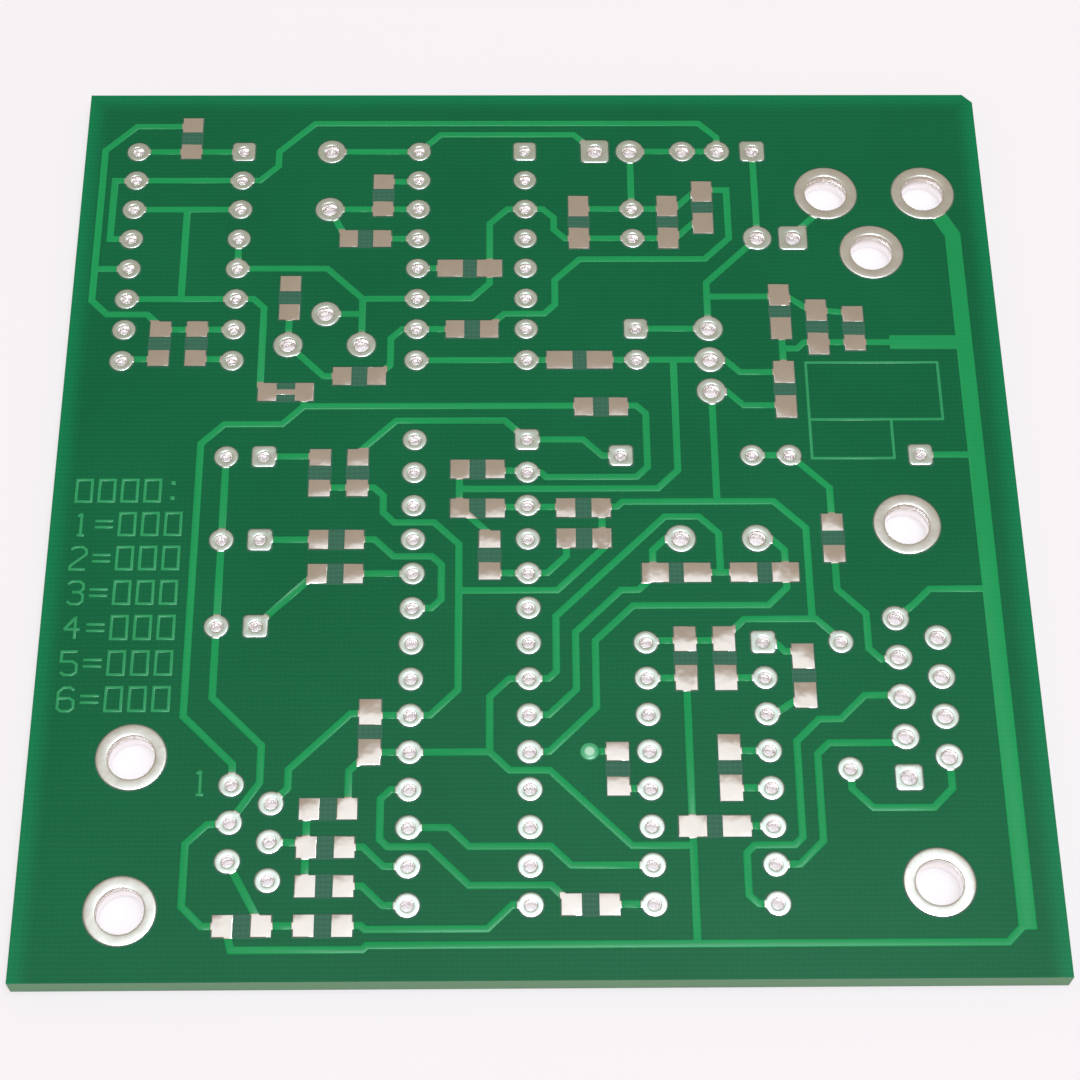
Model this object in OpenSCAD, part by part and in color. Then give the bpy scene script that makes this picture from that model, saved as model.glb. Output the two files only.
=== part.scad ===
// Bare printed circuit board, ready for its parts: a glass-epoxy sheet with etched copper,
// green solder mask on both faces and tinned lands. It lies flat, parts side up.
// The origin is the middle of the underside. X runs right and Y runs to the power jack's edge.

/* [Laminate] */
// Thickness of the glass-epoxy sheet
laminate_t = 1.5; // [0.8:0.1:2.4]
// Board beyond the copper line at the left edge
edge_left = 1.4; // [0.8:0.1:3]
// Board beyond the middle of the supply rail at the right edge
edge_right = 2.5; // [1.6:0.1:4]
// Board beyond the copper line at the front edge
edge_front = 2; // [0.8:0.1:3]
// Board beyond the copper line at the back edge
edge_back = 2.6; // [0.8:0.1:4]
// Size of the clipped corner at the back right
corner_clip = 0.7; // [0.3:0.1:2]

/* [Layout] */
// Pitch of the layout grid, from one chip lead to the next
pitch = 2.54; // [2.5:0.01:3]

/* [Copper and coatings] */
// Thickness of the copper foil with its plating
copper_t = 0.06; // [0.04:0.01:0.12]
// Thickness of the tin coat on a bare land
tin_t = 0.02; // [0.01:0.01:0.05]
// Thickness of the solder mask on the laminate
mask_t = 0.03; // [0.02:0.01:0.05]
// Thickness of the solder mask on a copper track
mask_over_t = 0.02; // [0.01:0.01:0.05]
// Bare ring between a land and the solder mask
mask_gap = 0.09; // [0.05:0.01:0.2]
// Wall of the plating in a hole
plating_t = 0.05; // [0.03:0.01:0.08]

// Corner radius of a square land
square_corner_r = 0.3; // [0.1:0.05:0.5]

/* [Tracks] */
// Width of a signal track
track_w = 0.5; // [0.3:0.05:0.6]
// Width of the supply rail
rail_w = 1.15; // [0.8:0.05:1.4]
// Width of a stroke in the printed key and the frames
stroke_w = 0.2; // [0.15:0.05:0.3]

/* [Plated holes] */
// Diameter of a land for a chip lead
chip_land_d = 1.6; // [1.4:0.05:1.8]
// Diameter of the hole for a chip lead
chip_hole_d = 0.8; // [0.6:0.05:1]
// Diameter of a land for a header or connector lead
pin_land_d = 1.75; // [1.5:0.05:1.9]
// Diameter of the hole for a header or connector lead
pin_hole_d = 1; // [0.7:0.05:1.1]
// Diameter of a land for a thick lead
lead_land_d = 2; // [1.7:0.05:2.1]
// Diameter of the hole for a thick lead
lead_hole_d = 1.1; // [0.7:0.05:1.2]
// Diameter of a ring round a large hole
ring_d = 4.5; // [3.8:0.1:5]
// Diameter of a large plated hole
ring_hole_d = 3; // [2.4:0.1:3.3]
// Diameter of the covered via
via_d = 1.2; // [0.8:0.05:1.4]
// Diameter of the drilling of the covered via
via_drill_d = 0.5; // [0.3:0.05:0.6]

/* [Connectors] */
// Lead pitch of the nine-lead connector
socket_pitch = 2.79; // [2.5:0.01:3]
// Distance between the two lead rows of the nine-lead connector
socket_row_gap = 2.66; // [2.54:0.01:3]
// Distance between the two lock holes of the nine-lead connector
socket_lock_span = 25.1; // [24:0.1:26]
// Distance between the two post holes of the modular jack
jack_post_span = 10.16; // [9.5:0.01:11]
// Distance from the post holes to the first lead row of the modular jack
jack_post_back = 6.42; // [6:0.01:7]
// Distance between the two outer tab holes of the power jack
power_tab_span = 7; // [6.5:0.1:7.5]
// Sideways distance from an outer tab hole to the third tab hole
power_tab_side = 4.05; // [3:0.05:4.5]
// Distance from the outer tab holes to the third tab hole
power_tab_back = 5.1; // [4.8:0.1:5.4]

/* [Surface lands] */
// Width of a land for a small chip part
chip_part_w = 1.42; // [1.2:0.02:1.5]
// Length of a land for a size 0603 part
short_land_l = 1.27; // [1:0.01:1.5]
// Distance between the two lands of a size 0603 part
short_land_span = 2.36; // [2.2:0.01:2.6]
// Length of a land for a size 0805 part
long_land_l = 1.78; // [1.5:0.01:2]
// Distance between the two lands of a size 0805 part
long_land_span = 2.76; // [2.6:0.01:3]
// Distance between the two lands of the solder bridge
bridge_span = 2.54; // [2.4:0.01:2.8]
// Width of the copper link in the solder bridge
bridge_link_w = 0.4; // [0.3:0.05:0.6]

/* [Hidden] */
$fn = 48;

// Levels above the surface that the board lies on
land_t = copper_t + tin_t;
sheet_z = land_t;
top_z = sheet_z + laminate_t;
board_h = top_z + land_t;
track_t = copper_t + mask_over_t;

// Outermost copper lines on the grid
LINE_LEFT = -8.95;
LINE_RIGHT = 15;
LINE_FRONT = -1.1;
LINE_BACK = 23.5;

// A grid place in millimetres
function at(x, y) = [x * pitch, y * pitch];

low_corner = at(LINE_LEFT, LINE_FRONT) - [edge_left, edge_front];
high_corner = at(LINE_RIGHT, LINE_BACK) + [edge_right, edge_back];
board_size = high_corner - low_corner;
board_mid = (low_corner + high_corner) / 2;

// Colours
mask_green = [0.05, 0.4, 0.24];
track_green = [0.12, 0.56, 0.33];
tin_silver = [0.83, 0.82, 0.79];
laminate_buff = [0.6, 0.66, 0.45];

// ---- Plated lands: [place, land diameter, hole diameter, square or not] ----

function chip_lead(x, y, square = false) = [at(x, y), chip_land_d, chip_hole_d, square];
function pin_lead(x, y, square = false) = [at(x, y), pin_land_d, pin_hole_d, square];
function thick_lead(x, y, square = false) = [at(x, y), lead_land_d, lead_hole_d, square];
function ring(place) = [place, ring_d, ring_hole_d, false];

// Both lead columns of a chip, with the square land of lead one at the back right
function chip(x, y, leads) =
    [for (column = [0, 3], row = [0 : leads / 2 - 1])
        chip_lead(x + column, y + row, column == 3 && row == leads / 2 - 1)];

LONG_CHIP = chip(0, 0, 28);
LEFT_CHIP = chip(-8, 15.5, 16);
MIDDLE_CHIP = chip(0, 15.5, 16);
RIGHT_CHIP = chip(6, 0, 16);
LEDS = [for (x = [-5, -4], y = [7.5, 10, 12.5]) chip_lead(x, y, x == -4)];
CRYSTAL = [thick_lead(7, 10), thick_lead(9, 10)];
REGULATOR = [for (y = [14.5 : 16.5]) thick_lead(8, y)];
TRANSISTOR = [thick_lead(-2.5, 17), thick_lead(-3.5, 16), thick_lead(-1.5, 16)];
HEADER = [pin_lead(7.5, 22.5), pin_lead(8.5, 22.5), pin_lead(9.5, 22.5, true)];
TALL_CAPACITOR = [thick_lead(5, 22.5, true), thick_lead(6, 22.5)];
SUPPLY_CAPACITOR = [thick_lead(9.5, 19.5), thick_lead(10.5, 19.5, true)];
DISC_CAPACITORS = [for (y = [15.5, 16.5, 19.5, 20.5]) chip_lead(6, y, y == 16.5)];
SENSOR = [thick_lead(-2.5, 20.5), thick_lead(-2.5, 22.5)];
WIRES = [
    chip_lead(5.5, 12.5, true), chip_lead(13.5, 12.5, true), chip_lead(9, 12.5),
    chip_lead(10, 12.5), chip_lead(11, 7), chip_lead(11, 3.5)
];

// Modular jack: six leads in two staggered rows, and two posts behind them
jack_place = at(-4.4, 1.9);
function jack_lead(k) = jack_place + [k % 2 * pitch, (2.5 - k) * pitch / 2];
JACK = [for (k = [0 : 5]) [jack_lead(k), chip_land_d, chip_hole_d, false]];
JACK_POSTS = [for (side = [-1, 1]) ring(jack_place + [-jack_post_back, side * jack_post_span / 2])];

// Nine-lead connector: a row of five, a row of four, and two lock holes between the rows
socket_place = at(12.45, 5.46);
function row_of_five(k) = socket_place + [0, (k - 2) * socket_pitch];
function row_of_four(k) = socket_place + [socket_row_gap, (k - 1.5) * socket_pitch];
SOCKET = concat(
    [for (k = [0 : 4]) [row_of_five(k), pin_land_d, pin_hole_d, k == 0]],
    [for (k = [0 : 3]) [row_of_four(k), pin_land_d, pin_hole_d, false]]
);
SOCKET_LOCKS = [
    for (side = [-1, 1])
        ring(socket_place + [socket_row_gap / 2, side * socket_lock_span / 2])
];

// Power jack: two outer tab holes and a third one beside them
power_place = at(14.27, 21.03);
power_outer = power_place - [power_tab_span, 0];
POWER_JACK = [
    ring(power_place),
    ring(power_outer),
    ring(power_place - [power_tab_side, power_tab_back])
];

PLATED = concat(
    LONG_CHIP, LEFT_CHIP, MIDDLE_CHIP, RIGHT_CHIP, LEDS, CRYSTAL, REGULATOR, TRANSISTOR, HEADER,
    TALL_CAPACITOR, SUPPLY_CAPACITOR, DISC_CAPACITORS, SENSOR, WIRES, JACK, JACK_POSTS, SOCKET,
    SOCKET_LOCKS, POWER_JACK
);
via_place = at(4.5, 4);

// ---- Surface lands: [place of the pair, turn, land length, distance, link width] ----

function short_pair(x, y, turn) = [at(x, y), turn, short_land_l, short_land_span, 0];
function long_pair(x, y, turn) = [at(x, y), turn, long_land_l, long_land_span, 0];
bridge = [at(-3.5, 14.5), 0, short_land_l, bridge_span, bridge_link_w];

LEFT_CHIP_PAIRS = [
    short_pair(-6.5, 22.97, 90), short_pair(-7, 16.05, 90), short_pair(-6, 16.05, 90)
];
MIDDLE_CHIP_PAIRS = [
    short_pair(-1, 20.98, 90), short_pair(-1.47, 19.5, 0), short_pair(-3.5, 17.53, 90),
    long_pair(1.45, 18.5, 0), short_pair(1.52, 16.5, 0), short_pair(-1.53, 15, 0),
    long_pair(4.45, 15.5, 0)
];
HEADER_PAIRS = [long_pair(4.5, 20.05, 90), long_pair(7, 20.05, 90), long_pair(8, 20.55, 90)];
REGULATOR_PAIRS = [
    long_pair(10, 17.05, 90), long_pair(11, 16.55, 90), short_pair(12, 16.5, 90),
    long_pair(10, 14.55, 90)
];
LED_PAIRS = [
    short_pair(-2.5, 12, 90), short_pair(-1.5, 12, 90), short_pair(-2, 10, 0),
    short_pair(-2, 9, 0)
];
LONG_CHIP_PAIRS = [
    short_pair(5, 14.02, 0), short_pair(1.68, 12.1, 0), short_pair(1.68, 10.92, 0),
    short_pair(4.47, 10.92, 0), short_pair(4.47, 10.02, 0), short_pair(2, 9.53, 90)
];
CRYSTAL_PAIRS = [long_pair(6.85, 9, 0), long_pair(9.15, 9, 0)];
RIGHT_CHIP_PAIRS = [
    long_pair(7, 6.55, 90), long_pair(8, 6.55, 90), long_pair(10, 6.05, 90),
    long_pair(8, 3.55, 90),
    short_pair(5.2, 3.53, 90), long_pair(7.55, 2, 0), short_pair(4.45, 0, 0)
];
JACK_PAIRS = [
    long_pair(-1, 4.55, 90), short_pair(-1.98, 2.5, 0), short_pair(-2.02, 1.5, 0),
    short_pair(-2.02, 0.5, 0), short_pair(-3.97, -0.5, 0), short_pair(-2.02, -0.5, 0)
];
SOCKET_PAIRS = [short_pair(11, 10, 90)];
PAIRS = concat(
    [bridge], LEFT_CHIP_PAIRS, MIDDLE_CHIP_PAIRS, HEADER_PAIRS, REGULATOR_PAIRS, LED_PAIRS,
    LONG_CHIP_PAIRS, CRYSTAL_PAIRS, RIGHT_CHIP_PAIRS, JACK_PAIRS, SOCKET_PAIRS
);

// ---- Tracks: [width, places along the middle of the track] ----

function run(places) = [track_w, [for (p = places) len(p) == 2 ? at(p.x, p.y) : p[0]]];
// A place that isn't on the grid, such as a connector's lead
function fixed(place) = [place];

LEFT_CHIP_RUNS = [
    run([[-6.5, 23.4], [-8.1, 23.4], [-8.95, 22.55], [-8.95, 17.45], [-8.5, 17], [-7.4, 17],
         [-7, 16.6]]),
    run([[-8.95, 18.5], [-8, 18.5]]),
    run([[-8, 22.5], [-5, 22.5]]),
    run([[-5, 21.5], [-8.6, 21.5], [-8.6, 19.5], [-8, 19.5]]),
    run([[-8, 20.5], [-5, 20.5]]),
    run([[-6.5, 20.5], [-6.5, 17.5]]),
    run([[-8, 17.5], [-4.5, 17.5], [-4.2, 17.2], [-4.2, 14.7], [-4, 14.5]]),
    run([[-5, 19.5], [-5, 18.5]]),
    run([[-7, 16.5], [-5, 16.5]]),
    run([[-8, 15.55], [-7, 15.55]]),
    run([[-6, 15.55], [-5, 15.55]])
];
HEADER_RUNS = [
    run([[-5, 21.5], [-4.5, 21.5], [-4, 22], [-4, 22.5], [-3, 23.5], [8, 23.5], [8.5, 23],
         [8.5, 22.5]]),
    run([[6, 22.5], [8.5, 22.5]]),
    run([[6, 22.5], [6, 20.5]]),
    run([[9.5, 22.5], [9.5, 19.5]])
];
MIDDLE_CHIP_RUNS = [
    run([[-5, 18.5], [-2.5, 18.5], [-1.5, 17.5], [1.5, 17.5], [2, 18], [2, 18.5]]),
    run([[-1.5, 17.5], [-1.5, 16]]),
    run([[-2.5, 17], [-1.5, 17]]),
    run([[-3.5, 17], [-3.5, 16]]),
    run([[-3.5, 16], [-2.5, 15], [-2, 15]]),
    run([[-2.5, 22.5], [0, 22.5]]),
    run([[-1, 21.45], [0, 21.45]]),
    run([[-2.5, 20.5], [0, 20.5]]),
    run([[-2.5, 20.5], [-2, 19.5]]),
    run([[-1, 19.5], [0, 19.5]]),
    run([[0, 22.5], [0.6, 23.1], [4.4, 23.1], [5, 22.5]]),
    run([[0, 18.5], [1, 18.5]]),
    run([[-1, 15.05], [-0.7, 15.35], [-0.7, 16.2], [-0.4, 16.5], [1, 16.5]]),
    run([[0, 15.5], [4, 15.5]])
];
CAPACITOR_RUNS = [
    run([[4.5, 20.5], [7.2, 20.5], [7.7, 21], [8, 21]]),
    run([[3, 20.5], [3.5, 20.5], [3.8, 20.2], [3.8, 19.8], [4.1, 19.5], [7.2, 19.5], [7.7, 20],
         [8, 20]]),
    run([[3, 20.5], [2.5, 20.5], [2, 20], [2, 18.5]]),
    run([[2, 16.6], [2.4, 17], [3.5, 17], [3.8, 17.3], [3.8, 18.1], [4.5, 18.8], [8, 18.8],
         [8.7, 19.5], [8.7, 21.15], [8, 21.15]])
];
REGULATOR_RUNS = [
    run([[9.5, 19.5], [8, 18], [8, 16.5]]),
    run([[8, 17.55], [10, 17.55]]),
    run([[10, 17.7], [10.8, 17.12], [12, 17]]),
    run([[10.5, 19.6], [11.3, 20.4]]),
    run([[8, 15.5], [8.4, 15.5], [8.8, 15.1], [10, 15.1]]),
    run([[8, 14.5], [8.4, 14.5], [8.85, 14.05], [10, 14.05]]),
    run([[6, 16.5], [8, 16.5]]),
    run([[5, 15.5], [8, 15.5]]),
    run([[7, 15.5], [7, 12.05], [6.45, 11.5], [1.2, 11.5]]),
    run([[1.2, 12.1], [1.2, 10.95]])
];
FEED_RUNS = [
    run([[8, 14.5], [8, 11.1]]),
    run([[5, 10.95], [5.35, 10.95], [5.5, 11.1], [9.5, 11.1], [10.3, 10.3], [10.3, 7.65]]),
    run([[8, 7.1], [8.55, 7.65], [10.4, 7.65], [11, 7.05]]),
    run([[4.95, 10.95], [4.95, 10.05]])
];
LED_RUNS = [
    run([[4.5, 14.05], [-3, 14.05], [-3.55, 13.5], [-5.1, 13.5], [-5.7, 12.9], [-5.7, 5],
         [-4.4, 3.7], fixed(jack_lead(0))]),
    run([[-3, 14.5], [-3, 14.05]]),
    run([[-5, 12.5], [-5, 5.5], [-3.7, 4.2], [-3.7, 3.2], fixed(jack_lead(2))]),
    run([[-4, 12.5], [-2.5, 12.5]]),
    run([[-4, 10], [-2.5, 10]]),
    run([[-4, 7.5], [-2.5, 9]])
];
LONG_CHIP_LEFT_RUNS = [
    run([[-1.5, 12.5], [-1.5, 12.6], [-0.5, 13.6], [2.4, 13.6], [3, 13]]),
    run([[-2.5, 11.55], [-1.05, 11.55], [-0.8, 11.3], [-0.8, 10.8], [-0.5, 10.5], [0.55, 10.5],
         [1.2, 9.85], [1.2, 5.7], [0.5, 5], [-1, 5]]),
    run([[5, 10.05], [5, 9.75], [3.75, 8.5], [1.2, 8.5]]),
    run([[-1.5, 10], [-1, 10], [-0.5, 9.5], [0.5, 9.5], [0.75, 9.25], [0.75, 8.25], [0.5, 8],
         [0, 8]]),
    run([[-1.5, 9], [0, 9]])
];
LONG_CHIP_RIGHT_RUNS = [
    run([[3, 13], [4.5, 13], [5, 12.5], [5.5, 12.5]]),
    run([[2.2, 12.05], [3, 12.05]]),
    run([[3, 12], [3.35, 12], [3.5, 11.85], [5.9, 11.85], [6.2, 12.15], [6.2, 13.8], [5.95, 14.05],
         [5.5, 14.05]]),
    run([[2.2, 10.95], [4, 10.95]]),
    run([[1.2, 10.95], [2, 10.15]]),
    run([[2, 9], [3.5, 9], [4, 9.5], [4, 10.05]])
];
CRYSTAL_RUNS = [
    run([[3, 6], [3.5, 6], [3.7, 6.2], [3.7, 7.75], [6.6, 10.65], [7.5, 10.65], [8, 10.15],
         [8, 9]]),
    run([[7.4, 9], [8.6, 9]]),
    run([[3, 5], [3.5, 5], [4.2, 5.7], [4.2, 7.3], [5.4, 8.5], [5.85, 8.5], [6.3, 8.95]]),
    run([[3, 4], [3.5, 4], [4.7, 5.2], [4.7, 7.05], [5.7, 8.05], [9.2, 8.05], [9.7, 8.55],
         [9.7, 9.65], [9.35, 10], [9, 10]]),
    run([[7, 10], [6.6, 10], [6.25, 9.65], [6.25, 9]])
];
JACK_RUNS = [
    run([fixed(jack_lead(2)), [-4.95, 2.1], [-5.45, 1.6], [-5.45, 0], [-4.95, -0.5],
         [-4.45, -0.5]]),
    run([fixed(jack_lead(4)), [-3.5, -0.5], [-2.5, -0.5]]),
    run([fixed(jack_lead(1)), [-3, 3.05], [-3, 3.55], [-1.5, 5.05], [-1, 5.05]]),
    run([fixed(jack_lead(3)), [-2.5, 1.6]]),
    run([[-2.5, 2.5], [-2.5, 0.5]]),
    run([[-1.5, 2.5], [-1.5, 3.5], [-1, 4]]),
    run([[-1.5, 1.5], [-1.1, 1.5], [-0.6, 1], [0, 1]]),
    run([[-1.5, 0.5], [-1.1, 0.5], [-0.6, 0], [0, 0]]),
    run([[-1.5, -0.5], [-1.1, -0.5], [-1, -0.6], [1.95, -0.6], [2.55, 0], [3, 0]])
];
RIGHT_CHIP_RUNS = [
    run([[6, 7.05], [8, 7.05]]),
    run([[6, 6], [7, 6]]),
    run([[8, 6], [9, 6]]),
    run([[8, 4], [9, 4]]),
    run([[8, 3], [9, 3]]),
    run([[8, 2], [9, 2]]),
    run([[9, 7], [9.28, 7], [9.55, 6.73], [10, 6.73]]),
    run([[9, 5], [9.2, 5], [9.8, 5.4], [10, 5.4]]),
    run([[5.2, 3], [6, 3]]),
    run([[4.5, 4], [5.2, 4]]),
    run([[5, 0], [6, 0]]),
    run([[0, 3], [-0.45, 3], [-0.7, 2.75], [-0.7, 1.7], [-0.5, 1.5], [0.5, 1.5], [1.5, 0.5],
         [3.5, 0.5], [4, 0]]),
    run([[0, 2], [1, 2], [1.5, 1.5], [3.5, 1.5], [4, 1], [6, 1]])
];
SOCKET_RUNS = [
    run([[9, 1], [9.6, 1], [10.2, 1.6], [10.2, 3.9], [10.5, 4.2], [12.2, 4.2],
         fixed(row_of_five(1))]),
    run([[9, 0], [8.52, 0], [8.3, 0.22], [8.3, 1.3], [8.5, 1.5], [9.5, 1.5], [9.7, 1.7], [9.7, 4.25],
         [10.3, 4.85], [10.85, 4.85], [11.5, 5.5], [12.2, 5.5], fixed(row_of_five(2))]),
    run([[11, 3.5], [11, 2.97], [11.5, 2.46], [13, 2.46], [13.5, 2.97], fixed(row_of_four(0))]),
    run([[11, 9.5], [11, 8.5], [11.7, 7.8], [11.7, 6.8], [12, 6.5], fixed(row_of_five(3))]),
    run([[9, 12.5], [10, 12.5], [11, 11.5], [11, 10.5]])
];
// The rail starts at the power jack and ends in the thin line along the front edge
rail_back = at(LINE_RIGHT, 19.6);
rail_front = at(LINE_RIGHT, -0.7);
SUPPLY_RUNS = [
    [rail_w, [power_place, rail_back, rail_front]],
    [rail_w, [at(12.95, 16.05), at(LINE_RIGHT, 16.05)]],
    run([[12, 16.05], [13.5, 16.05]]),
    run([[10, 16.5], [10, 15.1]]),
    run([[10, 15.85], [10.4, 15.85], [10.6, 16.05], [12, 16.05]]),
    run([[13.5, 12.5], [LINE_RIGHT, 12.5]]),
    run([fixed(row_of_five(4)), [12.95, 8.05], [13.4, 8.5], [LINE_RIGHT, 8.5]]),
    run([[-4.37, -0.5], [-4.2, LINE_FRONT], [-1.05, LINE_FRONT], [-0.95, -1],
         [14.5, -1], [LINE_RIGHT, -0.5]]),
    run([[7, 6], [7, -1]]),
    run([[-1, 4], [2, 4], [2.5, 3.5], [3.5, 3.5], [5.5, 1.5], [7, 1.5]]),
    run([[2, 4], [2, 5.5], [2.5, 6], [3, 6]])
];
RUNS = concat(
    LEFT_CHIP_RUNS, HEADER_RUNS, MIDDLE_CHIP_RUNS, CAPACITOR_RUNS, REGULATOR_RUNS, FEED_RUNS,
    LED_RUNS, LONG_CHIP_LEFT_RUNS, LONG_CHIP_RIGHT_RUNS, CRYSTAL_RUNS, JACK_RUNS, RIGHT_CHIP_RUNS,
    SOCKET_RUNS, SUPPLY_RUNS
);

// ---- Flat shapes ----

function unit(v) = v / norm(v);
function left_of(a, b) = let (d = unit(b - a)) [-d.y, d.x];

// One side of a track, mitred at its bends: side is 1 for the left and -1 for the right
function track_side(places, w, side) =
    let (last = len(places) - 1)
    [for (i = [0 : last])
        let (before = left_of(places[max(i - 1, 0)], places[max(i, 1)]))
        let (after = left_of(places[min(i, last - 1)], places[min(i + 1, last)]))
        let (mitre = before + after)
        places[i] + side * w * mitre / (mitre * mitre)];

function backwards(list) = [for (i = [len(list) - 1 : -1 : 0]) list[i]];

module track_shape(r) {
    polygon(concat(track_side(r[1], r[0], 1), backwards(track_side(r[1], r[0], -1))));
}

function from_segment(p, a, b) =
    let (along = max(0, min(1, (p - a) * (b - a) / ((b - a) * (b - a)))))
    norm(p - a - along * (b - a));
function from_run(p, r) = min([for (i = [0 : len(r[1]) - 2]) from_segment(p, r[1][i], r[1][i + 1])]);
function runs_near(p, reach) = [for (r = RUNS) if (from_run(p, r) < reach + r[0] / 2) r];

module soft_square(d) {
    straight = d - 2 * square_corner_r;
    square([d, straight], center = true);
    square([straight, d], center = true);
    for (x = [-1, 1], y = [-1, 1])
        translate([x, y] * straight / 2) circle(r = square_corner_r);
}

module round_or_square(d, square_land) {
    if (square_land)
        soft_square(d);
    else
        circle(d = d);
}

// A plated land grown by gap, such as its opening in the solder mask
module land_shape(l, gap = 0) {
    translate(l[0]) round_or_square(l[1] + 2 * gap, l[3]);
}

// The two lands of a pair, and the link between them where it has one
module pair_shape(p) {
    translate(p[0]) rotate(p[1]) {
        for (side = [-1, 1])
            translate([side * p[3] / 2, 0]) square([p[2], chip_part_w], center = true);
        if (p[4] > 0)
            square([p[3], p[4]], center = true);
    }
}

// One opening in the solder mask holds both lands of a pair
module pair_opening(p) {
    translate(p[0]) rotate(p[1])
        square([p[3] + p[2] + 2 * mask_gap, chip_part_w + 2 * mask_gap], center = true);
}

// Copper that a track brings into an opening is bare, so it is tinned with the land
module track_ends(place, reach) {
    near = runs_near(place, reach);
    if (len(near) > 0)
        intersection() {
            children();
            for (r = near)
                track_shape(r);
        }
}

module land_copper(l) {
    land_shape(l);
    track_ends(l[0], l[1] / 2 + mask_gap)
        land_shape(l, mask_gap);
}

module pair_copper(p) {
    pair_shape(p);
    track_ends(p[0], p[3] / 2 + p[2])
        pair_opening(p);
}

function near_land(l, r) = from_run(l[0], r) < l[1] + r[0];
function near_pair(p, r) = from_run(p[0], r) < p[3] + r[0];

module track_copper(r) {
    difference() {
        track_shape(r);
        for (l = PLATED)
            if (near_land(l, r))
                land_shape(l, mask_gap);
        for (p = PAIRS)
            if (near_pair(p, r))
                pair_opening(p);
        translate(via_place) circle(d = via_d);
    }
}

module board_outline() {
    difference() {
        translate(low_corner) square(board_size);
        translate(high_corner) rotate(45) square(corner_clip * sqrt(2), center = true);
    }
}

// Moves a shape from the grid's place to the middle of the board, at a level
module level(z) {
    translate([-board_mid.x, -board_mid.y, z]) children();
}

// ---- Parts in the round ----

// A land on each face, joined by the plated wall of its hole
module plated_lands(lands) {
    color(tin_silver)
        for (l = lands)
            difference() {
                union() {
                    level(top_z) linear_extrude(land_t) land_copper(l);
                    level(0) linear_extrude(board_h) translate(l[0]) circle(d = l[2] + 2 * plating_t);
                    level(0) linear_extrude(land_t) land_shape(l);
                }
                level(-1) linear_extrude(board_h + 2) translate(l[0]) circle(d = l[2]);
            }
}

module surface_lands(pairs) {
    color(tin_silver)
        for (p = pairs)
            level(top_z) linear_extrude(land_t) pair_copper(p);
}

module covered_tracks(runs) {
    color(track_green)
        level(top_z) linear_extrude(track_t)
            for (r = runs)
                track_copper(r);
}

// ---- Sheet and solder mask ----

module laminate() {
    color(laminate_buff)
        difference() {
            level(sheet_z) linear_extrude(laminate_t) board_outline();
            for (l = PLATED)
                level(sheet_z - 1) linear_extrude(laminate_t + 2)
                    translate(l[0]) circle(d = l[2] + 2 * plating_t);
            level(sheet_z - 1) linear_extrude(laminate_t + 2)
                translate(via_place) circle(d = via_drill_d);
        }
}

// The mask between the copper. Where it covers a track, it is part of that track.
module solder_mask_top() {
    color(mask_green)
        level(top_z) linear_extrude(mask_t)
            difference() {
                board_outline();
                for (l = PLATED)
                    land_shape(l, mask_gap);
                for (p = PAIRS)
                    pair_opening(p);
                for (r = RUNS)
                    track_shape(r);
                translate(via_place) circle(d = via_d);
                frame_shapes();
                key_shapes();
                pin_one_shape();
            }
}

// Its outer face is level with the lands, so the board rests flat
module solder_mask_bottom() {
    color(mask_green)
        level(0) linear_extrude(land_t)
            difference() {
                board_outline();
                for (l = PLATED)
                    land_shape(l, mask_gap);
                translate(via_place) circle(d = via_d);
            }
}

module covered_via() {
    color(track_green) {
        level(top_z) linear_extrude(track_t) translate(via_place) circle(d = via_d);
        level(0) linear_extrude(board_h - tin_t) translate(via_place) circle(d = via_drill_d);
        level(0) linear_extrude(land_t) translate(via_place) circle(d = via_d);
    }
}

// ---- Printed strokes, in copper under the mask ----

// Two blank boxes, one above the other, for a written note
frame_place = at(10.6, 12.4);
frame_low = [2.2 * pitch, 1.2 * pitch];
frame_high = [3.6 * pitch, 1.8 * pitch];

module box_stroke(size) {
    difference() {
        translate([-stroke_w / 2, -stroke_w / 2]) square(size + [stroke_w, stroke_w]);
        translate([stroke_w / 2, stroke_w / 2]) square(size - [stroke_w, stroke_w]);
    }
}

module frame_shapes() {
    translate(frame_place) {
        box_stroke(frame_low);
        translate([0, frame_low.y]) box_stroke(frame_high);
    }
}

// Key to the six leads of the modular jack: a blank heading that ends in two dots, above rows
// that hold a number, two short bars and blank boxes
KEY_ROWS = 6;
key_place = at(-8.885, 10.155);
pin_one_place = at(-5.37, 2.89);
key_step = pitch;
sign_h = 0.65 * pitch;
sign_w = 0.4 * pitch;
sign_step = 0.6 * pitch;

// Strokes of the numbers 1 to 6, on a cell two wide and four high
NUMBERS = [
    [[[1, 0], [1, 4]], [[0.5, 3.4], [1, 3.9]], [[0.5, 0], [1.5, 0]]],
    [[[0, 3.5], [0.5, 4], [1.5, 4], [2, 3.5], [2, 2.7], [0, 0.6], [0, 0], [2, 0]]],
    [
        [[0, 3.5], [0.5, 4], [1.5, 4], [2, 3.5], [2, 2.6], [1.5, 2.1], [0.6, 2.1]],
        [[1.5, 2.1], [2, 1.6], [2, 0.5], [1.5, 0], [0.5, 0], [0, 0.5]]
    ],
    [[[1.4, 0], [1.4, 4]], [[1.4, 3.9], [0, 1.7]], [[0, 1.7], [2, 1.7]]],
    [[[2, 4], [0, 4], [0, 2.3], [1.5, 2.3], [2, 1.8], [2, 0.5], [1.5, 0], [0.5, 0], [0, 0.5]]],
    [
        [[2, 3.5], [1.5, 4], [0.6, 4], [0, 3.2], [0, 0.5], [0.5, 0], [1, 0]],
        [[0, 2.2], [1.5, 2.2], [2, 1.7], [2, 0.5], [1.5, 0], [0.9, 0]]
    ]
];

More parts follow.
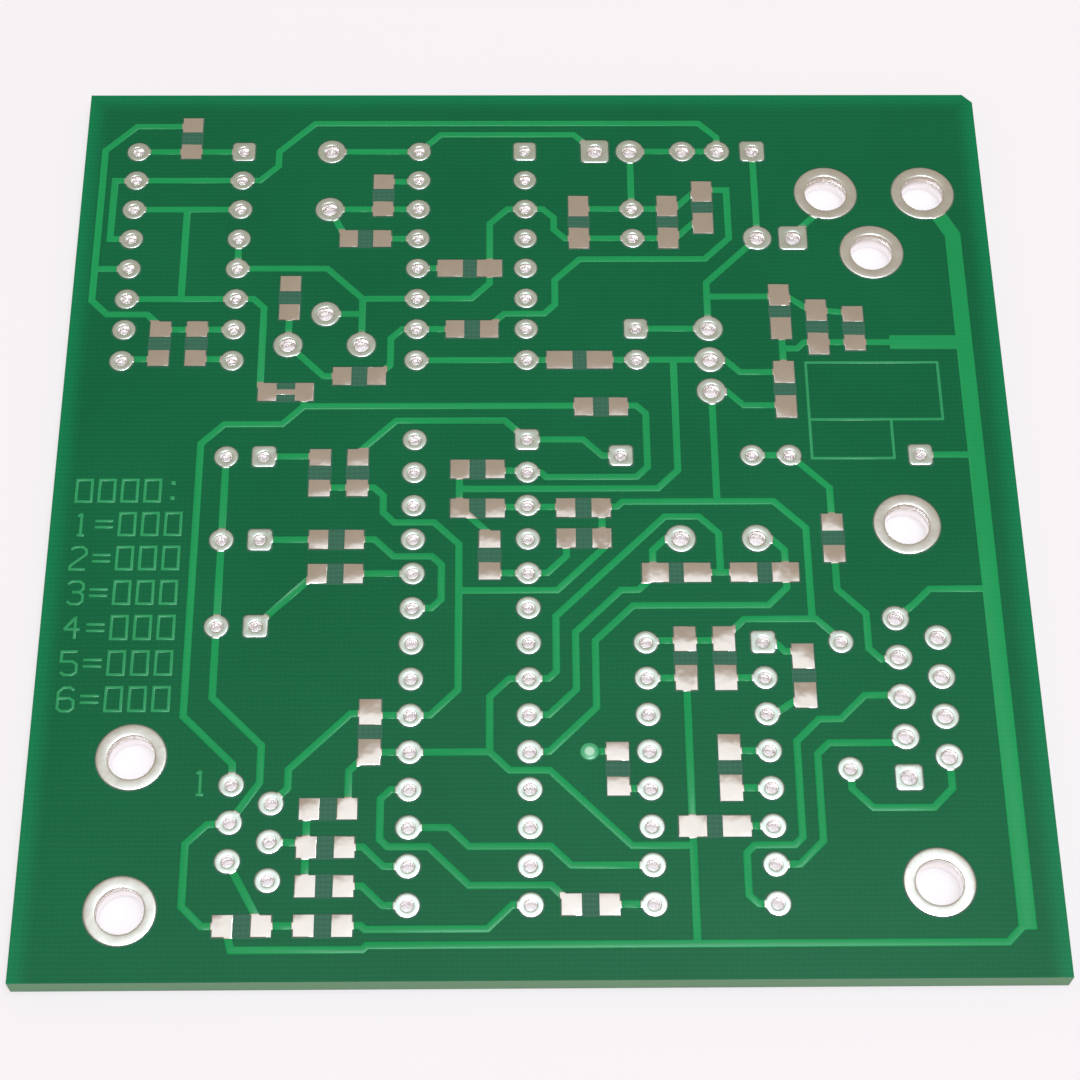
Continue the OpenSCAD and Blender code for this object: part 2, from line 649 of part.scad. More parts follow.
module number_shape(n) {
    for (stroke = NUMBERS[n - 1])
        track_shape([stroke_w, [for (p = stroke) [p.x * sign_w / 2, p.y * sign_h / 4]]]);
}

module key_shapes() {
    for (box = [0 : 3])
        translate(key_place + [box * sign_step, key_step]) box_stroke([sign_w, sign_h]);
    for (dot = [0.15, 0.85])
        translate(key_place + [4 * sign_step + sign_w / 3, key_step + dot * sign_h])
            square(1.5 * stroke_w, center = true);
    for (row = [0 : KEY_ROWS - 1])
        translate(key_place - [0, row * key_step]) {
            number_shape(row + 1);
            for (bar = [0.36, 0.64])
                translate([sign_step, bar * sign_h] - [1, 1] * stroke_w / 2)
                    square([sign_w + stroke_w, stroke_w]);
            for (box = [2 : 4])
                translate([box * sign_step, 0]) box_stroke([sign_w, sign_h]);
        }
}

module pin_one_shape() {
    translate(pin_one_place) number_shape(1);
}

module strokes() {
    color(track_green) level(top_z) linear_extrude(track_t) children();
}

// ---- Nodes ----

module long_chip_lands() { plated_lands(LONG_CHIP); }
module left_chip_lands() { plated_lands(LEFT_CHIP); }
module middle_chip_lands() { plated_lands(MIDDLE_CHIP); }
module right_chip_lands() { plated_lands(RIGHT_CHIP); }
module led_lands() { plated_lands(LEDS); }
module crystal_lands() { plated_lands(CRYSTAL); }
module regulator_lands() { plated_lands(REGULATOR); }
module transistor_lands() { plated_lands(TRANSISTOR); }
module header_lands() { plated_lands(HEADER); }
module tall_capacitor_lands() { plated_lands(TALL_CAPACITOR); }
module supply_capacitor_lands() { plated_lands(SUPPLY_CAPACITOR); }
module disc_capacitor_lands() { plated_lands(DISC_CAPACITORS); }
module sensor_lands() { plated_lands(SENSOR); }
module wire_lands() { plated_lands(WIRES); }
module jack_lands() { plated_lands(JACK); }
module jack_post_rings() { plated_lands(JACK_POSTS); }
module socket_lands() { plated_lands(SOCKET); }
module socket_lock_rings() { plated_lands(SOCKET_LOCKS); }
module power_jack_rings() { plated_lands(POWER_JACK); }
module left_chip_pads() { surface_lands(LEFT_CHIP_PAIRS); }
module middle_chip_pads() { surface_lands(MIDDLE_CHIP_PAIRS); }
module header_pads() { surface_lands(HEADER_PAIRS); }
module regulator_pads() { surface_lands(REGULATOR_PAIRS); }
module bridge_pads() { surface_lands([bridge]); }
module led_pads() { surface_lands(LED_PAIRS); }
module long_chip_pads() { surface_lands(LONG_CHIP_PAIRS); }
module crystal_pads() { surface_lands(CRYSTAL_PAIRS); }
module right_chip_pads() { surface_lands(RIGHT_CHIP_PAIRS); }
module jack_pads() { surface_lands(JACK_PAIRS); }
module socket_pads() { surface_lands(SOCKET_PAIRS); }
module left_chip_tracks() { covered_tracks(LEFT_CHIP_RUNS); }
module header_tracks() { covered_tracks(HEADER_RUNS); }
module middle_chip_tracks() { covered_tracks(MIDDLE_CHIP_RUNS); }
module capacitor_tracks() { covered_tracks(CAPACITOR_RUNS); }
module regulator_tracks() { covered_tracks(REGULATOR_RUNS); }
module feed_tracks() { covered_tracks(FEED_RUNS); }
module led_tracks() { covered_tracks(LED_RUNS); }
module long_chip_left_tracks() { covered_tracks(LONG_CHIP_LEFT_RUNS); }
module long_chip_right_tracks() { covered_tracks(LONG_CHIP_RIGHT_RUNS); }
module crystal_tracks() { covered_tracks(CRYSTAL_RUNS); }
module jack_tracks() { covered_tracks(JACK_RUNS); }
module right_chip_tracks() { covered_tracks(RIGHT_CHIP_RUNS); }
module socket_tracks() { covered_tracks(SOCKET_RUNS); }
module supply_rail() { covered_tracks(SUPPLY_RUNS); }
module note_frames() { strokes() frame_shapes(); }
module pin_key() { strokes() key_shapes(); }
module pin_one_mark() { strokes() pin_one_shape(); }

laminate();
solder_mask_top();
solder_mask_bottom();
long_chip_lands();
left_chip_lands();
middle_chip_lands();
right_chip_lands();
led_lands();
crystal_lands();
regulator_lands();
transistor_lands();
header_lands();
tall_capacitor_lands();
supply_capacitor_lands();
disc_capacitor_lands();
sensor_lands();
wire_lands();
jack_lands();
jack_post_rings();
socket_lands();
socket_lock_rings();
power_jack_rings();
covered_via();
left_chip_pads();
middle_chip_pads();
header_pads();
regulator_pads();
bridge_pads();
led_pads();
long_chip_pads();
crystal_pads();
right_chip_pads();
jack_pads();
socket_pads();
left_chip_tracks();
header_tracks();
middle_chip_tracks();
capacitor_tracks();
regulator_tracks();
feed_tracks();
led_tracks();
long_chip_left_tracks();
long_chip_right_tracks();
crystal_tracks();
jack_tracks();
right_chip_tracks();
socket_tracks();
supply_rail();
note_frames();
pin_key();
pin_one_mark();
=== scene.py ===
import math

import bmesh
import bpy
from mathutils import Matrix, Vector


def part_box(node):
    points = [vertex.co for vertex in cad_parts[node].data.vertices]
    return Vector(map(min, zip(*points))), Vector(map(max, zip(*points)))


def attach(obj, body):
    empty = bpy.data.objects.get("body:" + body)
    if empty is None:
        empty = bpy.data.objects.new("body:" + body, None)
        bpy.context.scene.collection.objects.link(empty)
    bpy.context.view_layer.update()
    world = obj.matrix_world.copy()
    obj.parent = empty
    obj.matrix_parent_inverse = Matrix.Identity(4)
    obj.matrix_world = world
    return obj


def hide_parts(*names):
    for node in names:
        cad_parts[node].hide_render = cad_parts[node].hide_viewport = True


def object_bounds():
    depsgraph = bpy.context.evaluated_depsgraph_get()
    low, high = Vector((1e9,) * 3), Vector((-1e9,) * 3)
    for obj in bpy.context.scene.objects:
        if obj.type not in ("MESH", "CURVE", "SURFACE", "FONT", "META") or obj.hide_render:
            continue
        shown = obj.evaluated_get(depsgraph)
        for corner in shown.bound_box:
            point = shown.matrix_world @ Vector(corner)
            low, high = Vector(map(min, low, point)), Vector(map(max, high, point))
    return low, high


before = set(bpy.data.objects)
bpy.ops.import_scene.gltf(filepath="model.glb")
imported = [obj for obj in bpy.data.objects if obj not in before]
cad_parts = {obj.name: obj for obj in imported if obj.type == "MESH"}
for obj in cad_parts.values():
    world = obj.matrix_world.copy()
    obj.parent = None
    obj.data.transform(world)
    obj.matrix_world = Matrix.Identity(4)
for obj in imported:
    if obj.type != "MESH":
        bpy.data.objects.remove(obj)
cad_low, cad_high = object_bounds()
MM = 0.001


# ---- Laminate ----
# The sheet that carries everything: woven glass cloth set in epoxy resin, about 1.5 mm thick,
# drilled for each lead and sawn to its outline. The resin is a dull grey-green where the face
# is bare, and the sawn edge is paler, with the ends of the cloth showing as fine lines.

GLASS_THREAD_PITCH = 0.34 * MM
LAMINATE_FACE = (0.041, 0.138, 0.087, 1)
LAMINATE_EDGE = (0.17, 0.36, 0.2, 1)
CLOTH_LAYERS_SCALE = 1500.0
# A wave texture at a scale of 1 has 20 / (2 pi) bands to the metre
WAVE_SCALE_PER_BAND = 2 * math.pi / 20


def blank_finish(name):
    finish = bpy.data.materials.new(name)
    finish.use_nodes = True
    tree = finish.node_tree
    return finish, tree, tree.nodes["Principled BSDF"]


def add_node(tree, kind, values=(), **settings):
    node = tree.nodes.new("ShaderNode" + kind)
    for setting, value in settings.items():
        setattr(node, setting, value)
    for socket, value in dict(values).items():
        node.inputs[socket].default_value = value
    return node


def wire(tree, *pairs):
    for source, target in pairs:
        tree.links.new(source, target)


def effect_group(name, inputs, outputs):
    tree = bpy.data.node_groups.new(name, "ShaderNodeTree")
    for label, value in inputs:
        socket = tree.interface.new_socket(label, in_out="INPUT", socket_type="NodeSocketFloat")
        socket.default_value = value
    for label in outputs:
        tree.interface.new_socket(label, in_out="OUTPUT", socket_type="NodeSocketFloat")
    return tree, tree.nodes.new("NodeGroupInput"), tree.nodes.new("NodeGroupOutput")


# Glass cloth: two sets of threads that cross, seen as faint lines through resin or mask
glass_cloth, cloth_in, cloth_out = effect_group(
    "Glass cloth", [("Threads per metre", 1 / GLASS_THREAD_PITCH), ("Waviness", 1.5)], ["Threads"]
)
cloth_place = add_node(glass_cloth, "TexCoord")
cloth_scale = add_node(glass_cloth, "Math", {1: WAVE_SCALE_PER_BAND}, operation="MULTIPLY")
wire(glass_cloth, (cloth_in.outputs["Threads per metre"], cloth_scale.inputs[0]))
thread_sets = []
for direction in ("X", "Y"):
    threads = add_node(
        glass_cloth, "TexWave", {"Detail": 1.0, "Detail Scale": 0.6}, bands_direction=direction
    )
    wire(
        glass_cloth,
        (cloth_place.outputs["Object"], threads.inputs["Vector"]),
        (cloth_scale.outputs[0], threads.inputs["Scale"]),
        (cloth_in.outputs["Waviness"], threads.inputs["Distortion"]),
    )
    thread_sets.append(threads)
cloth_mix = add_node(glass_cloth, "Mix", {"Factor": 0.7})
wire(
    glass_cloth,
    (thread_sets[0].outputs["Fac"], cloth_mix.inputs["A"]),
    (thread_sets[1].outputs["Fac"], cloth_mix.inputs["B"]),
    (cloth_mix.outputs["Result"], cloth_out.inputs["Threads"]),
)


def use_group(tree, group, **values):
    node = tree.nodes.new("ShaderNodeGroup")
    node.node_tree = group
    for socket, value in values.items():
        node.inputs[socket.replace("_", " ")].default_value = value
    return node


def two_tone(tree, factor, low_colour, high_colour):
    mix = add_node(tree, "Mix", data_type="RGBA")
    mix.inputs["A"].default_value = low_colour
    mix.inputs["B"].default_value = high_colour
    wire(tree, (factor, mix.inputs["Factor"]))
    return mix.outputs["Result"]


def shaded(colour, share):
    return (colour[0] * share, colour[1] * share, colour[2] * share, 1)


laminate_finish, tree, shader = blank_finish("Laminate")
shader.inputs["Roughness"].default_value = 0.5
shader.inputs["Specular IOR Level"].default_value = 0.12
threads = use_group(tree, glass_cloth)
face_colour = two_tone(
    tree, threads.outputs["Threads"], shaded(LAMINATE_FACE, 0.9), shaded(LAMINATE_FACE, 1.15)
)
# Layers of cloth show as thin level lines in the sawn edge and in the wall of a hole
edge_place = add_node(tree, "TexCoord")
layers = add_node(
    tree,
    "TexWave",
    {"Scale": CLOTH_LAYERS_SCALE, "Distortion": 2.0, "Detail": 2.0},
    bands_direction="Z",
)
wire(tree, (edge_place.outputs["Object"], layers.inputs["Vector"]))
edge_colour = two_tone(
    tree, layers.outputs["Fac"], shaded(LAMINATE_EDGE, 0.8), shaded(LAMINATE_EDGE, 1.1)
)


def level_part_of(tree):
    """1 on faces that lie level or nearly so, and 0 on upright walls."""
    facing = add_node(tree, "NewGeometry")
    facing_up = add_node(tree, "SeparateXYZ")
    level_part = add_node(tree, "Math", operation="ABSOLUTE")
    clear_split = add_node(tree, "MapRange", {"From Min": 0.2, "From Max": 0.5})
    wire(
        tree,
        (facing.outputs["True Normal"], facing_up.inputs["Vector"]),
        (facing_up.outputs["Z"], level_part.inputs[0]),
        (level_part.outputs[0], clear_split.inputs["Value"]),
    )
    return clear_split.outputs["Result"]


laminate_mix = add_node(tree, "Mix", data_type="RGBA")
wire(
    tree,
    (level_part_of(tree), laminate_mix.inputs["Factor"]),
    (edge_colour, laminate_mix.inputs["A"]),
    (face_colour, laminate_mix.inputs["B"]),
    (laminate_mix.outputs["Result"], shader.inputs["Base Color"]),
)
laminate_bump = add_node(tree, "Bump", {"Strength": 0.5, "Distance": 0.004 * MM})
wire(
    tree,
    (threads.outputs["Threads"], laminate_bump.inputs["Height"]),
    (laminate_bump.outputs["Normal"], shader.inputs["Normal"]),
)


def finish_node(name, finish):
    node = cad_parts[name]
    node.data.materials.clear()
    node.data.materials.append(finish)
    return node


finish_node("laminate", laminate_finish)


# ---- Solder mask ----
# A thin coat of green lacquer on each face, cured hard and glossy, with an opening at every
# land. It is deep green where it lies on the bare sheet, and the glass cloth shows through it.

MASK_GREEN = (0.001, 0.124, 0.045, 1)

# Slow changes in the thickness and colour of a coat, and the fine unevenness of its surface
coat_flow, flow_in, flow_out = effect_group(
    "Coat flow", [("Patches per metre", 90.0), ("Ripples per metre", 900.0)], ["Patches", "Ripples"]
)
flow_place = add_node(coat_flow, "TexCoord")
for label, detail in (("Patches", 3.0), ("Ripples", 0.8)):
    noise = add_node(coat_flow, "TexNoise", {"Detail": detail, "Roughness": 0.55})
    wire(
        coat_flow,
        (flow_place.outputs["Object"], noise.inputs["Vector"]),
        (flow_in.outputs[label + " per metre"], noise.inputs["Scale"]),
        (noise.outputs["Fac"], flow_out.inputs[label]),
    )


# Painted light: the margin at the sides and the back is painted a little paler, standing in for
# light that enters by the sawn edge
painted_margin_glow, glow_in, glow_out = effect_group("Painted margin glow", [("Width", 1.6 * MM)], ["Margin"])
margin_place = add_node(painted_margin_glow, "TexCoord")
margin_sides = add_node(painted_margin_glow, "SeparateXYZ")
from_middle = add_node(painted_margin_glow, "Math", operation="ABSOLUTE")
to_side = add_node(painted_margin_glow, "Math", {0: cad_high.x}, operation="SUBTRACT")
to_back = add_node(painted_margin_glow, "Math", {0: cad_high.y}, operation="SUBTRACT")
nearest_side = add_node(painted_margin_glow, "Math", operation="MINIMUM")
wire(
    painted_margin_glow,
    (margin_sides.outputs["X"], from_middle.inputs[0]),
    (from_middle.outputs[0], to_side.inputs[1]),
    (margin_sides.outputs["Y"], to_back.inputs[1]),
    (to_side.outputs[0], nearest_side.inputs[0]),
    (to_back.outputs[0], nearest_side.inputs[1]),
)
margin_share = add_node(
    painted_margin_glow, "MapRange", {"To Min": 1.0, "To Max": 0.0}, interpolation_type="SMOOTHSTEP"
)
wire(
    painted_margin_glow,
    (margin_place.outputs["Object"], margin_sides.inputs["Vector"]),
    (nearest_side.outputs[0], margin_share.inputs["Value"]),
    (glow_in.outputs["Width"], margin_share.inputs["From Max"]),
    (margin_share.outputs["Result"], glow_out.inputs["Margin"]),
)


def lacquer(name, green, shine, thread_share, ripple):
    """A glossy coat of mask: thread_share is how far the cloth shows, ripple its unevenness."""
    finish, tree, shader = blank_finish(name)
    shader.inputs["Specular IOR Level"].default_value = shine
    flow = use_group(tree, coat_flow)
    threads = use_group(tree, glass_cloth)
    toned = two_tone(tree, flow.outputs["Patches"], shaded(green, 0.86), shaded(green, 1.14))
    # Painted light: near the sides and back the green is painted up to 1.55 times brighter, as if
    # lit through the sawn edge
    margin = use_group(tree, painted_margin_glow)
    lit = add_node(tree, "Mix", {"B": shaded(green, 1.55)}, data_type="RGBA")
    thread_tone = two_tone(
        tree,
        threads.outputs["Threads"],
        (1 - thread_share,) * 3 + (1,),
        (1 + thread_share,) * 3 + (1,),
    )
    both = add_node(tree, "Mix", {"Factor": 1.0}, data_type="RGBA", blend_type="MULTIPLY")
    gloss = add_node(tree, "MapRange", {"To Min": 0.18, "To Max": 0.29})
    height = add_node(tree, "Math", {1: thread_share}, operation="MULTIPLY_ADD")
    bump = add_node(tree, "Bump", {"Strength": 1.0, "Distance": ripple})
    wire(
        tree,
        (margin.outputs["Margin"], lit.inputs["Factor"]),
        (toned, lit.inputs["A"]),
        (lit.outputs["Result"], both.inputs["A"]),
        (thread_tone, both.inputs["B"]),
        (both.outputs["Result"], shader.inputs["Base Color"]),
        (flow.outputs["Patches"], gloss.inputs["Value"]),
        (gloss.outputs["Result"], shader.inputs["Roughness"]),
        (threads.outputs["Threads"], height.inputs[0]),
        (flow.outputs["Ripples"], height.inputs[2]),
        (height.outputs[0], bump.inputs["Height"]),
        (bump.outputs["Normal"], shader.inputs["Normal"]),
    )
    return finish


mask_finish = lacquer("Solder mask", MASK_GREEN, 0.22, 0.09, 0.006 * MM)
finish_node("solder_mask_top", mask_finish)
finish_node("solder_mask_bottom", mask_finish)


# ---- Covered tracks ----
# Etched copper strips under the mask. The mask is thinner and paler on the copper, and it flows
# down to the sheet at each side of a strip, so each one has soft sloping shoulders.

TRACK_GREEN = (0.008, 0.30, 0.088, 1)
TRACK_SHOULDERS = [(0.05 * MM, 0.022 * MM), (0.05 * MM, 0.012 * MM)]
TRACK_NODES = [
    "left_chip_tracks",
    "header_tracks",
    "middle_chip_tracks",
    "capacitor_tracks",
    "regulator_tracks",
    "feed_tracks",
    "led_tracks",
    "long_chip_left_tracks",
    "long_chip_right_tracks",
    "crystal_tracks",
    "jack_tracks",
    "right_chip_tracks",
    "socket_tracks",
]


def copy_of_node(node_name, piece_name):
    """A new piece in the place of a node, with its loose triangles joined up."""
    piece = bpy.data.objects.new(piece_name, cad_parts[node_name].data.copy())
    bpy.context.scene.collection.objects.link(piece)
    bpy.ops.object.select_all(action="DESELECT")
    piece.select_set(True)
    bpy.context.view_layer.objects.active = piece
    bpy.ops.object.mode_set(mode="EDIT")
    bpy.ops.mesh.select_all(action="SELECT")
    bpy.ops.mesh.remove_doubles(threshold=0.0005 * MM)
    bpy.ops.mesh.select_all(action="DESELECT")
    bpy.ops.object.mode_set(mode="OBJECT")
    return piece


def select_caps(piece, height, up):
    """Selects the level faces at a height that face up, or down where up is -1."""
    mesh = bmesh.from_edit_mesh(piece.data)
    for face in mesh.faces:
        level = abs(face.calc_center_median().z - height) < 0.001 * MM
        face.select_set(level and face.normal.z * up > 0.9)
    mesh.select_flush_mode()
    bmesh.update_edit_mesh(piece.data)


def crown(piece, height, steps, up=1):
    """Rounds over the level faces at a height: each step is (distance in from the edge, rise).

    In a tight corner a step can fold over itself, so slivers that point inwards are turned round.
    """
    bpy.context.view_layer.objects.active = piece
    bpy.ops.object.mode_set(mode="EDIT")
    bpy.ops.mesh.select_mode(type="FACE")
    select_caps(piece, height, up)
    drop = sum(rise for _, rise in steps)
    bpy.ops.transform.translate(value=(0, 0, -drop * up))
    for distance, rise in steps:
        bpy.ops.mesh.inset(thickness=distance, depth=0, use_even_offset=False)
        bpy.ops.transform.translate(value=(0, 0, rise * up))
    mesh = bmesh.from_edit_mesh(piece.data)
    for face in mesh.faces:
        face.normal_update()
        in_crown = (face.calc_center_median().z - height) * up > -drop
        if in_crown and face.normal.z * up < 0:
            face.normal_flip()
    bmesh.update_edit_mesh(piece.data)
    bpy.ops.mesh.select_all(action="DESELECT")
    bpy.ops.object.mode_set(mode="OBJECT")
    bpy.ops.object.shade_smooth_by_angle(angle=math.radians(50))


def dress(piece, node_name, finish):
    """Gives a piece its finish and puts it in the node's place on the board."""
    piece.data.materials.clear()
    piece.data.materials.append(finish)
    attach(piece, "root")
    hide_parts(node_name)


track_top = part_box("led_tracks")[1].z
track_finish = lacquer("Mask over copper", TRACK_GREEN, 0.26, 0.03, 0.005 * MM)
for node_name in TRACK_NODES:
    piece = copy_of_node(node_name, node_name + "_under_mask")
    crown(piece, track_top, TRACK_SHOULDERS)
    dress(piece, node_name, track_finish)


# ---- Supply rail ----
# The broad copper strip that carries the supply along the right edge, with thinner strips that
# leave it. It is etched and covered as the other tracks are.

piece = copy_of_node("supply_rail", "supply_rail_under_mask")
crown(piece, track_top, TRACK_SHOULDERS)
dress(piece, "supply_rail", track_finish)


# ---- Printed strokes ----
# Thin strokes of copper under the mask, etched with the tracks: two blank note boxes, the key
# to the jack's leads, and the number beside its first lead.

STROKE_GREEN = (0.022, 0.31, 0.11, 1)
STROKE_SHOULDERS = [(0.05 * MM, 0.022 * MM), (0.04 * MM, 0.008 * MM)]

stroke_finish = lacquer("Mask over strokes", STROKE_GREEN, 0.4, 0.03, 0.005 * MM)
for node_name in ("note_frames", "pin_key", "pin_one_mark"):
    piece = copy_of_node(node_name, node_name + "_under_mask")
    crown(piece, track_top, STROKE_SHOULDERS)
    dress(piece, node_name, stroke_finish)


# ---- Covered via ----
# A small plated hole that joins the two faces. The mask flows over its land and closes it with
# a bead, and the top of the bead has a painted highlight.

VIA_GREEN = (0.05, 0.4, 0.17, 1)
BEAD_PAINTED_HIGHLIGHT_GREEN = (0.45, 0.74, 0.52, 1)
BEAD_INNER_RADIUS = 0.22 * MM
BEAD_OUTER_RADIUS = 0.38 * MM
BEAD_SHOULDERS = [(0.1 * MM, 0.025 * MM), (0.12 * MM, 0.015 * MM), (0.12 * MM, 0.006 * MM)]

via_finish = lacquer("Mask over via", VIA_GREEN, 0.9, 0.0, 0.006 * MM)
via_low, via_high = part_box("covered_via")
tree = via_finish.node_tree
via_place = add_node(tree, "TexCoord")
level_place = add_node(tree, "VectorMath", {1: (1, 1, 0)}, operation="MULTIPLY")
via_middle = ((via_low.x + via_high.x) / 2, (via_low.y + via_high.y) / 2, 0)
from_via = add_node(tree, "VectorMath", {1: via_middle}, operation="DISTANCE")
# Painted highlight: the top of the bead is painted pale green inside the inner radius, fading out
# by the outer radius
bead = add_node(
    tree,
    "MapRange",
    {"From Min": BEAD_INNER_RADIUS, "From Max": BEAD_OUTER_RADIUS, "To Min": 1.0, "To Max": 0.0},
    interpolation_type="SMOOTHSTEP",
)
bead_highlight_colour = add_node(tree, "Mix", {"B": BEAD_PAINTED_HIGHLIGHT_GREEN}, data_type="RGBA")
covered_colour = tree.nodes["Principled BSDF"].inputs["Base Color"].links[0].from_socket
wire(
    tree,
    (via_place.outputs["Object"], level_place.inputs[0]),
    (level_place.outputs["Vector"], from_via.inputs[0]),
    (from_via.outputs["Value"], bead.inputs["Value"]),
    (bead.outputs["Result"], bead_highlight_colour.inputs["Factor"]),
    (covered_colour, bead_highlight_colour.inputs["A"]),
    (bead_highlight_colour.outputs["Result"], tree.nodes["Principled BSDF"].inputs["Base Color"]),
)
piece = copy_of_node("covered_via", "covered_via_bead")
crown(piece, track_top, BEAD_SHOULDERS)
dress(piece, "covered_via", via_finish)


# ---- Plated lands ----
# A ring of copper on each face, joined by the plated wall of its hole. Molten tin was levelled
# over it with hot air, so it is bright, a little domed and a little uneven.

LAND_TIN = (0.75, 0.88, 0.83, 1)
LAND_SHOULDERS = [(0.04 * MM, 0.007 * MM), (0.04 * MM, 0.005 * MM), (0.04 * MM, 0.003 * MM)]
# Painted light: the tin in a hole wall is painted brighter than the tin on top, standing in for
# light that fills the hole
TIN_IN_HOLE_PAINTED_BRIGHT = (0.94, 0.9, 0.89, 1)
HOLE_WALL_ROUGHNESS = 0.32
PLATED_NODES = [
    "long_chip_lands",
    "left_chip_lands",
    "middle_chip_lands",
    "right_chip_lands",
    "led_lands",
    "crystal_lands",
    "regulator_lands",
    "transistor_lands",
    "header_lands",
    "tall_capacitor_lands",
    "supply_capacitor_lands",
    "disc_capacitor_lands",
    "sensor_lands",
    "wire_lands",
    "jack_lands",
    "socket_lands",
]


def tin_coat(name, tin, roughness, unevenness):
    """Bright tin, levelled while molten: unevenness is the height of its low waves."""
    finish, tree, shader = blank_finish(name)
    shader.inputs["Metallic"].default_value = 1.0
    flow = use_group(tree, coat_flow, Patches_per_metre=700.0, Ripples_per_metre=1400.0)
    top_colour = two_tone(tree, flow.outputs["Patches"], shaded(tin, 0.92), shaded(tin, 1.06))
    top_gloss = add_node(
        tree, "MapRange", {"To Min": roughness * 0.8, "To Max": roughness * 1.25}
    )
    # In the wall of a hole the tin is smooth, as it drains down it, and its colour is painted
    # brighter than on top: painted light that stands in for the light filling the hole
    level_share = level_part_of(tree)
    colour = add_node(tree, "Mix", {"A": TIN_IN_HOLE_PAINTED_BRIGHT}, data_type="RGBA")
    gloss = add_node(tree, "Mix", {"A": HOLE_WALL_ROUGHNESS})
    bump = add_node(tree, "Bump", {"Distance": unevenness})
    wire(
        tree,
        (level_share, colour.inputs["Factor"]),
        (top_colour, colour.inputs["B"]),
        (colour.outputs["Result"], shader.inputs["Base Color"]),
        (flow.outputs["Patches"], top_gloss.inputs["Value"]),
        (level_share, gloss.inputs["Factor"]),
        (top_gloss.outputs["Result"], gloss.inputs["B"]),
        (gloss.outputs["Result"], shader.inputs["Roughness"]),
        (level_share, bump.inputs["Strength"]),
        (flow.outputs["Ripples"], bump.inputs["Height"]),
        (bump.outputs["Normal"], shader.inputs["Normal"]),
    )
    return finish


land_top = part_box("long_chip_lands")[1].z
tin_finish = tin_coat("Levelled tin", LAND_TIN, 0.26, 0.008 * MM)
for node_name in PLATED_NODES:
    piece = copy_of_node(node_name, node_name + "_tinned")
    crown(piece, land_top, LAND_SHOULDERS)
    crown(piece, 0.0, LAND_SHOULDERS, up=-1)
    dress(piece, node_name, tin_finish)


# ---- Large plated holes ----
# Holes for the posts, board locks and tabs of the jacks and the socket. Their broad rings and
# walls are plated and tinned in the same bath as the small lands.

RING_TIN = (0.82, 0.845, 0.81, 1)
RING_SHOULDERS = [(0.05 * MM, 0.009 * MM), (0.05 * MM, 0.007 * MM), (0.05 * MM, 0.004 * MM)]

ring_finish = tin_coat("Levelled tin on large rings", RING_TIN, 0.26, 0.01 * MM)
for node_name in ("jack_post_rings", "socket_lock_rings", "power_jack_rings"):
    piece = copy_of_node(node_name, node_name + "_tinned")
    crown(piece, land_top, RING_SHOULDERS)
    crown(piece, 0.0, RING_SHOULDERS, up=-1)
    dress(piece, node_name, ring_finish)


# ---- Surface lands ----
# Flat tinned copper on the parts side alone, in pairs for small chip parts. The tin is thickest
# in the middle of a land and thins towards its edges.

PAD_TIN = (0.86, 0.83, 0.80, 1)
PAD_SHOULDERS = [(0.06 * MM, 0.005 * MM)]
PAD_NODES = [
    "left_chip_pads",
    "middle_chip_pads",
    "header_pads",
    "regulator_pads",
    "led_pads",
    "long_chip_pads",
    "crystal_pads",
    "right_chip_pads",
    "jack_pads",
    "socket_pads",
    "bridge_pads",
]

pad_finish = tin_coat("Levelled tin on surface lands", PAD_TIN, 0.13, 0.01 * MM)
for node_name in PAD_NODES:
    piece = copy_of_node(node_name, node_name + "_tinned")
    crown(piece, land_top, PAD_SHOULDERS)
    dress(piece, node_name, pad_finish)


# ---- Table, light and camera ----
# The board lies on a plain white table in a dim room, under one soft lamp and a bright window
# overhead that the tin reflects. It is seen from above its front edge.

TABLE_WHITE = (0.94, 0.895, 0.915, 1)
TABLE_SIDE = 4.0
TABLE_GAP = 0.02 * MM
TABLE_LIT_SHARE = 0.6
ROOM_DIM = (0.43, 0.354, 0.278, 1)
WINDOW_BRIGHT = (1.06, 1.04, 1.02, 1)
WINDOW_MIDDLE = Vector((0.045, 0.08, 0.996)).normalized()
# The window's soft edge, as the cosine of the angle from its middle
WINDOW_EDGE = {"From Min": 0.9255, "From Max": 0.9412}
LAMP_PLACE = Vector((0.06, -0.1, 0.6))
CAMERA_PLACE = (-2.1 * MM, -76.915 * MM, 141.92 * MM)
CAMERA_TILT = [math.radians(27.65), math.radians(-0.645), math.radians(-0.557)]

bpy.ops.object.select_all(action="DESELECT")
bpy.ops.mesh.primitive_plane_add(size=TABLE_SIDE, location=(0, 0, -TABLE_GAP))
table = bpy.context.object
table.name = "table"
table_finish, tree, shader = blank_finish("White table")
shader.inputs["Base Color"].default_value = TABLE_WHITE
shader.inputs["Roughness"].default_value = 0.9
shader.inputs["Specular IOR Level"].default_value = 0.0
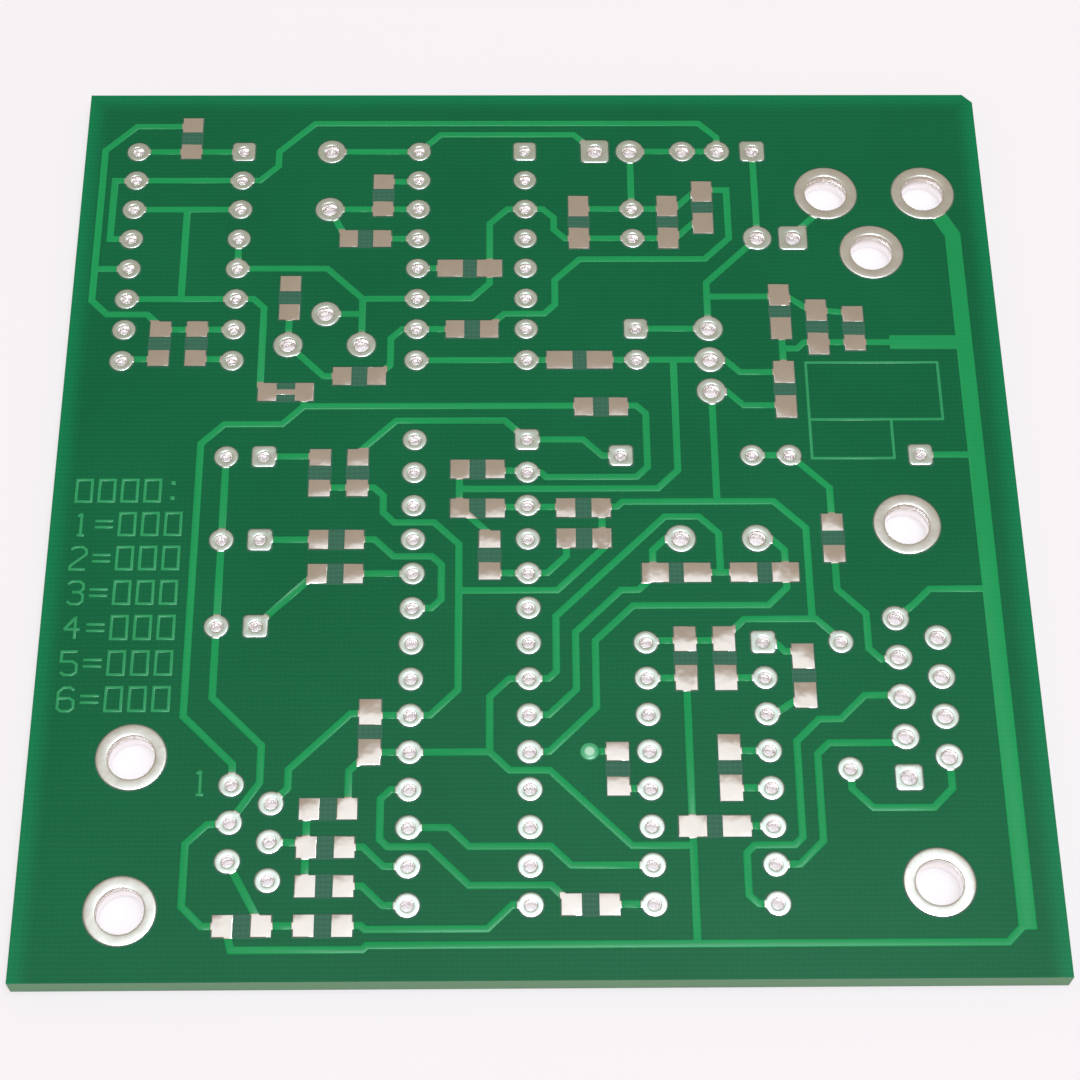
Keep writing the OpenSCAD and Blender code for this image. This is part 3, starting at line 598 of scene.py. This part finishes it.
# Seen by the camera, or in the bright wall of a hole, the table is partly lit from within, as a
# sheet of white acrylic is, and it keeps part of the board's shadow
seen_white = add_node(tree, "Emission", {"Color": TABLE_WHITE, "Strength": 1.0})
ray = add_node(tree, "LightPath")
seen_rays = add_node(tree, "Math", operation="MAXIMUM")
seen_share = add_node(tree, "Math", {1: TABLE_LIT_SHARE}, operation="MULTIPLY")
table_mix = add_node(tree, "MixShader")
wire(
    tree,
    (ray.outputs["Is Camera Ray"], seen_rays.inputs[0]),
    (ray.outputs["Is Glossy Ray"], seen_rays.inputs[1]),
    (seen_rays.outputs[0], seen_share.inputs[0]),
    (seen_share.outputs[0], table_mix.inputs["Fac"]),
    (shader.outputs["BSDF"], table_mix.inputs[1]),
    (seen_white.outputs["Emission"], table_mix.inputs[2]),
    (table_mix.outputs["Shader"], tree.nodes["Material Output"].inputs["Surface"]),
)
table.data.materials.append(table_finish)

room = bpy.data.worlds.new("Room")
bpy.context.scene.world = room
room.use_nodes = True
room_tree = room.node_tree
room_light = room_tree.nodes["Background"]
room_place = add_node(room_tree, "TexCoord")
room_window = add_node(room_tree, "VectorMath", {1: WINDOW_MIDDLE}, operation="DOT_PRODUCT")
room_glow = add_node(room_tree, "MapRange", WINDOW_EDGE, interpolation_type="SMOOTHSTEP")
room_colour = two_tone(room_tree, room_glow.outputs["Result"], ROOM_DIM, WINDOW_BRIGHT)
wire(
    room_tree,
    (room_place.outputs["Generated"], room_window.inputs[0]),
    (room_window.outputs["Value"], room_glow.inputs["Value"]),
    (room_colour, room_light.inputs["Color"]),
)

bpy.ops.object.light_add(type="AREA", location=LAMP_PLACE)
lamp = bpy.context.object
lamp.name = "soft_light"
lamp.data.shape = "SQUARE"
lamp.data.size = 0.3
lamp.data.energy = 2.65
lamp.data.color = (0.78, 0.89, 1.0)
lamp.rotation_euler = (-LAMP_PLACE).to_track_quat("-Z", "Y").to_euler()

bpy.ops.object.camera_add(location=CAMERA_PLACE, rotation=CAMERA_TILT)
camera = bpy.context.object
camera.name = "camera"
camera.data.sensor_width = 36
camera.data.lens = 79.5
camera.data.clip_start = 0.005
bpy.context.scene.camera = camera
bpy.context.scene.view_settings.view_transform = "Standard"
